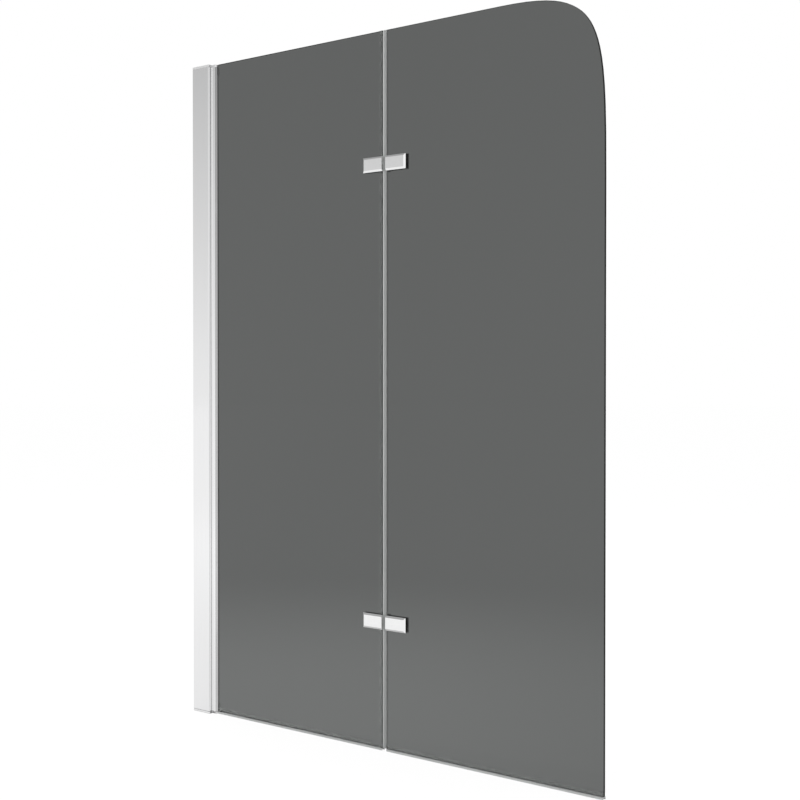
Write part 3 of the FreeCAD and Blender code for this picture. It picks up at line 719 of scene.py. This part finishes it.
class SCREEN_OT_gasket(bpy.types.Operator):
    """Soft channel between the inner pane and the pivot profile"""

    bl_idname = "bath_screen.gasket"
    bl_label = "Glazing gasket"

    def execute(self, context):
        sizes = context.scene.screen_seals
        low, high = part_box("glazing_gasket")
        glass_low, glass_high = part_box("inner_glass")
        inside = glass_high[1] + sizes.film
        floor = glass_low[0] - sizes.film
        front_leg = self.leg(sizes, high[0], inside, high[1], floor, low[0]) * (1.0, -1.0)
        back_leg = self.leg(sizes, high[0] - sizes.back_leg, inside, high[1], floor, low[0])
        loop = rounded(np.concatenate([front_leg, back_leg[::-1]]), sizes.round)
        part = (*extruded([loop], low[2], high[2], (0, 1, 2)), "gasket")
        make_piece("glazing_channel", [part], "inner_panel", ["glazing_gasket"])
        return {"FINISHED"}

    def leg(self, sizes, tip, inside, outside, floor, root):
        """One leg from the floor of the channel round its sloped tip to the root."""
        corners = [
            (floor, inside),
            (tip, inside),
            (tip, inside + 0.35 * (outside - inside)),
            (tip - 0.6 * sizes.lip, outside),
            (root, outside),
        ]
        return np.asarray(corners)


class SCREEN_OT_pads(bpy.types.Operator):
    """Soft rubber pads between the hinge plates and the glass"""

    bl_idname = "bath_screen.pads"
    bl_label = "Hinge pads"

    def execute(self, context):
        sizes = context.scene.screen_seals
        for level in LEVELS:
            for leaf in LEAVES:
                for side in ("front", "back"):
                    self.pad(sizes, f"{level}_hinge_{leaf}_{side}_pad", leaf)
        return {"FINISHED"}

    def pad(self, sizes, node, leaf):
        """One pad, from its plate to the film on the glass."""
        low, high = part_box(node)
        glass_low, glass_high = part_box(leaf + "_glass")
        front = "_front_" in node
        plate_side = low[1] if front else high[1]
        glass_side = glass_low[1] - sizes.film if front else glass_high[1] + sizes.film
        corners = [(low[0], low[2]), (high[0], low[2]), (high[0], high[2]), (low[0], high[2])]
        outline = rounded(corners, sizes.pad_corner, steps=9)
        depths = sorted((plate_side, glass_side))
        part = (*soft_slab(outline, depths[0], depths[1], 0.3 * (depths[1] - depths[0])), "rubber")
        make_piece(node + "_soft", [part], PANEL_OF_LEAF[leaf], [node])


def floor_disc(radius, level):
    """Round floor: rings of radius r = R s^2 and angle a, so that the middle is finer."""
    share_out = np.linspace(0.0, 1.0, 25)[1:] ** 2 * radius
    angle = np.linspace(0.0, 2 * math.pi, 96, endpoint=False)
    r, a = np.meshgrid(share_out, angle, indexing="ij")
    place = np.stack([r * np.cos(a), r * np.sin(a), np.full_like(r, level)], axis=-1).reshape(-1, 3)
    rings = ring_quads(len(angle), len(share_out))[:, ::-1].tolist()
    return place, rings + [np.arange(len(angle)).tolist()]


def math_node(tree, operation, first, second):
    """Value of a sum, product or the like, of sockets or numbers."""
    node = tree.nodes.new("ShaderNodeMath")
    node.operation = operation
    for place, value in enumerate((first, second)):
        if isinstance(value, float):
            node.inputs[place].default_value = value
        else:
            tree.links.new(value, node.inputs[place])
    return node.outputs["Value"]


def range_node(tree, value, from_low, from_high, to_low, to_high):
    """Value carried smoothly from one range to another, and held at both ends."""
    node = tree.nodes.new("ShaderNodeMapRange")
    node.interpolation_type = "SMOOTHSTEP"
    node.inputs["From Min"].default_value = from_low
    node.inputs["From Max"].default_value = from_high
    node.inputs["To Min"].default_value = to_low
    node.inputs["To Max"].default_value = to_high
    tree.links.new(value, node.inputs["Value"])
    return node.outputs["Result"]


def choose(tree, factor, first, second):
    """First value where the factor is 0, second where it is 1."""
    node = tree.nodes.new("ShaderNodeMix")
    tree.links.new(factor, node.inputs["Factor"])
    for key, value in (("A", first), ("B", second)):
        if isinstance(value, float):
            node.inputs[key].default_value = value
        else:
            tree.links.new(value, node.inputs[key])
    return node.outputs["Result"]


class SCREEN_OT_stage(bpy.types.Operator):
    """Pale floor, white surroundings, soft lamps and the camera"""

    bl_idname = "bath_screen.stage"
    bl_label = "Stage"

    def execute(self, context):
        stage = context.scene.screen_stage
        self.floor(context, stage)
        self.world(context, stage)
        self.lamp(context, "key_lamp", stage.key_power, stage.key_place, stage.lamp_aim, stage.key_width)
        self.lamp(context, "fill_lamp", stage.fill_power, stage.fill_place, stage.lamp_aim, stage.fill_width)
        self.lamp(context, "back_lamp", stage.fill_power, stage.back_place, stage.lamp_aim, stage.back_width)
        self.camera(context, stage)
        context.scene.view_settings.view_transform = "Standard"
        return {"FINISHED"}

    def floor(self, context, stage):
        """Pale floor that takes the shadow, with its own levels for mirrors and for views through glass."""
        place, faces = floor_disc(stage.floor_radius, -stage.floor_gap)
        mesh = bpy.data.meshes.new("studio_floor")
        mesh.from_pydata(place.tolist(), [], faces)
        mesh.validate()
        floor = bpy.data.objects.new("studio_floor", mesh)
        context.scene.collection.objects.link(floor)
        material, shader = new_material("studio_floor")
        shader.inputs["Base Color"].default_value = (*stage.floor_colour, 1.0)
        shader.inputs["Roughness"].default_value = 0.9
        shader.inputs["Specular IOR Level"].default_value = 0.0
        tree = material.node_tree
        path = tree.nodes.new("ShaderNodeLightPath")
        place = tree.nodes.new("ShaderNodeTexCoord").outputs["Object"]
        axes = tree.nodes.new("ShaderNodeSeparateXYZ")
        tree.links.new(place, axes.inputs["Vector"])
        reach = tree.nodes.new("ShaderNodeVectorMath")
        reach.operation = "LENGTH"
        tree.links.new(place, reach.inputs["Vector"])
        # Metal mirrors a floor that dims towards the screen, behind it and along its front
        mirrored = range_node(tree, axes.outputs["Y"], -2.6, 0.4, 0.93, 0.81)
        behind = range_node(tree, axes.outputs["Y"], 0.2, 1.4, 1.0, 0.7)
        mirrored = math_node(tree, "MULTIPLY", mirrored, behind)
        slant = math_node(tree, "MULTIPLY", axes.outputs["X"], 0.15)
        aside = math_node(tree, "ADD", axes.outputs["Y"], slant)
        mirrored = math_node(tree, "MULTIPLY", mirrored, range_node(tree, aside, -0.02, 0.012, 1.0, 0.61))
        mirrored = math_node(tree, "MULTIPLY", mirrored, self.shade_under_post(tree, axes))
        through = range_node(tree, reach.outputs["Value"], 0.2, 2.0, stage.near_glow, 1.0)
        level = choose(tree, path.outputs["Is Transmission Ray"], mirrored, through)
        level = choose(tree, path.outputs["Is Camera Ray"], level, 1.0)
        # The eye sees mostly white, with a share of the lit floor left for the shadow
        white = tree.nodes.new("ShaderNodeEmission")
        white.inputs["Color"].default_value = (1.0, 1.0, 1.0, 1.0)
        tree.links.new(level, white.inputs["Strength"])
        mix = tree.nodes.new("ShaderNodeMixShader")
        seen = math_node(tree, "MAXIMUM", path.outputs["Is Camera Ray"], path.outputs["Is Glossy Ray"])
        bright = math_node(tree, "MULTIPLY", seen, 0.9)
        shown = choose(tree, path.outputs["Is Transmission Ray"], bright, 1.0)
        tree.links.new(shown, mix.inputs["Fac"])
        tree.links.new(shader.outputs["BSDF"], mix.inputs[1])
        tree.links.new(white.outputs["Emission"], mix.inputs[2])
        tree.links.new(mix.outputs["Shader"], tree.nodes["Material Output"].inputs["Surface"])
        mesh.materials.append(material)

    def shade_under_post(self, tree, axes):
        """1 on the open floor, falling to a deep shade inside the foot of the post."""
        low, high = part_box("bottom_end_cap")
        soft = 1.0 * MM
        sideways = math_node(tree, "ABSOLUTE", axes.outputs["Y"], 0.0)
        within = range_node(tree, sideways, high[1], high[1] + soft, 0.9, 0.0)
        before = range_node(tree, axes.outputs["X"], high[0] - soft, high[0], 1.0, 0.0)
        return math_node(tree, "SUBTRACT", 1.0, math_node(tree, "MULTIPLY", within, before))

    def world(self, context, stage):
        """White to the eye and through glass, studio surroundings in mirrors, plain light for the rest."""
        world = bpy.data.worlds.new("studio")
        context.scene.world = world
        world.use_nodes = True
        tree = world.node_tree
        ambient = tree.nodes["Background"]
        ambient.inputs["Color"].default_value = (1.0, 1.0, 1.0, 1.0)
        ambient.inputs["Strength"].default_value = stage.ambient
        path = tree.nodes.new("ShaderNodeLightPath")
        eye = path.outputs["Is Camera Ray"]
        looked = math_node(tree, "MAXIMUM", eye, path.outputs["Is Transmission Ray"])
        shown = math_node(tree, "MAXIMUM", looked, path.outputs["Is Glossy Ray"])
        backdrop = tree.nodes.new("ShaderNodeBackground")
        backdrop.inputs["Color"].default_value = (1.0, 1.0, 1.0, 1.0)
        tree.links.new(choose(tree, looked, self.surroundings(tree), 1.0), backdrop.inputs["Strength"])
        mix = tree.nodes.new("ShaderNodeMixShader")
        tree.links.new(shown, mix.inputs["Fac"])
        tree.links.new(ambient.outputs["Background"], mix.inputs[1])
        tree.links.new(backdrop.outputs["Background"], mix.inputs[2])
        tree.links.new(mix.outputs["Shader"], tree.nodes["World Output"].inputs["Surface"])

    def surroundings(self, tree):
        """What metal mirrors: pale at eye level, darker upwards, behind and beside the free edge.

        Two softboxes stand in it, one on the wall side and one at the front, towards the free edge.
        """
        place = tree.nodes.new("ShaderNodeTexCoord").outputs["Generated"]
        axes = tree.nodes.new("ShaderNodeSeparateXYZ")
        tree.links.new(place, axes.inputs["Vector"])
        ramp = tree.nodes.new("ShaderNodeValToRGB")
        stops = ramp.color_ramp.elements
        for position, level in ((0.0, 0.95), (0.151, 0.71), (0.225, 0.59), (0.72, 0.45)):
            stop = stops[0] if position == 0.0 else stops.new(position)
            stop.position = position
            stop.color = (level, level, level, 1.0)
        stops[len(stops) - 1].color = (0.5, 0.5, 0.5, 1.0)
        tree.links.new(axes.outputs["Z"], ramp.inputs["Fac"])
        front = range_node(tree, axes.outputs["Y"], -1.0, 1.0, 0.95, 0.5)
        level = math_node(tree, "MULTIPLY", ramp.outputs["Color"], front)
        beside = range_node(tree, axes.outputs["X"], 0.5, 0.7, 0.0, 0.24)
        alongside = range_node(tree, axes.outputs["Y"], -0.22, -0.1, 0.0, 1.0)
        shade = math_node(tree, "SUBTRACT", 1.0, math_node(tree, "MULTIPLY", beside, alongside))
        level = math_node(tree, "MULTIPLY", level, shade)
        for aim, rim, core in (((-1.0, 0.0, 0.0), 0.735, 0.785), ((0.62, -0.78, 0.0), 0.78, 0.96)):
            toward = tree.nodes.new("ShaderNodeVectorMath")
            toward.operation = "DOT_PRODUCT"
            toward.inputs[1].default_value = aim
            tree.links.new(place, toward.inputs[0])
            softbox = range_node(tree, toward.outputs["Value"], rim, core, 0.0, 1.0)
            level = choose(tree, softbox, level, 0.95)
        return level

    def lamp(self, context, name, power, place, target, size):
        """Round soft lamp that faces the target and shows in no mirror."""
        data = bpy.data.lights.new(name, "AREA")
        data.energy = power
        data.shape = "DISK"
        data.size = size
        lamp = bpy.data.objects.new(name, data)
        context.scene.collection.objects.link(lamp)
        lamp.location = place
        aim = np.subtract(target, place)
        aim = aim / np.linalg.norm(aim)
        lamp.rotation_euler = (math.acos(-aim[2]), 0.0, math.atan2(-aim[0], aim[1]))
        lamp.visible_camera = False
        lamp.visible_glossy = False
        lamp.visible_transmission = False

    def camera(self, context, stage):
        """Camera with a shifted lens."""
        data = bpy.data.cameras.new("camera")
        data.lens = stage.camera_lens
        data.sensor_width = 36.0
        data.clip_start = 0.01
        data.shift_x, data.shift_y = stage.camera_shift
        camera = bpy.data.objects.new("camera", data)
        context.scene.collection.objects.link(camera)
        camera.location = stage.camera_place
        camera.rotation_euler = (0.5 * math.pi - stage.camera_dip, 0.0, stage.camera_turn)
        context.scene.camera = camera


OPERATORS = (
    SCREEN_OT_panes,
    SCREEN_OT_post,
    SCREEN_OT_caps,
    SCREEN_OT_hinges,
    SCREEN_OT_fasteners,
    SCREEN_OT_bearings,
    SCREEN_OT_bottom_seals,
    SCREEN_OT_fold_seal,
    SCREEN_OT_gasket,
    SCREEN_OT_pads,
    SCREEN_OT_stage,
)


class SCREEN_PT_sidebar(bpy.types.Panel):
    """Sizes, colours and build steps of the bath screen"""

    bl_idname = "SCREEN_PT_sidebar"
    bl_label = "Bath screen"
    bl_space_type = "VIEW_3D"
    bl_region_type = "UI"
    bl_category = "Bath screen"

    def draw(self, context):
        layout = self.layout
        for group in ("screen_seals", "screen_colours", "screen_stage"):
            box = layout.box()
            settings = getattr(context.scene, group)
            for key in settings.__annotations__:
                box.prop(settings, key)
        for operator in OPERATORS:
            layout.operator(operator.bl_idname)


GROUPS = {"screen_seals": SealSizes, "screen_colours": FinishColours, "screen_stage": StageSizes}


def register():
    for name, group in GROUPS.items():
        bpy.utils.register_class(group)
        setattr(bpy.types.Scene, name, PointerProperty(type=group))
    for item in OPERATORS + (SCREEN_PT_sidebar,):
        bpy.utils.register_class(item)


def unregister():
    for item in OPERATORS + (SCREEN_PT_sidebar,):
        bpy.utils.unregister_class(item)
    for name, group in GROUPS.items():
        delattr(bpy.types.Scene, name)
        bpy.utils.unregister_class(group)


def main():
    """Register, and run each step in order."""
    register()
    for operator in OPERATORS:
        step = operator.bl_idname.split(".")[1]
        getattr(bpy.ops.bath_screen, step)()


if __name__ == "__main__":
    main()
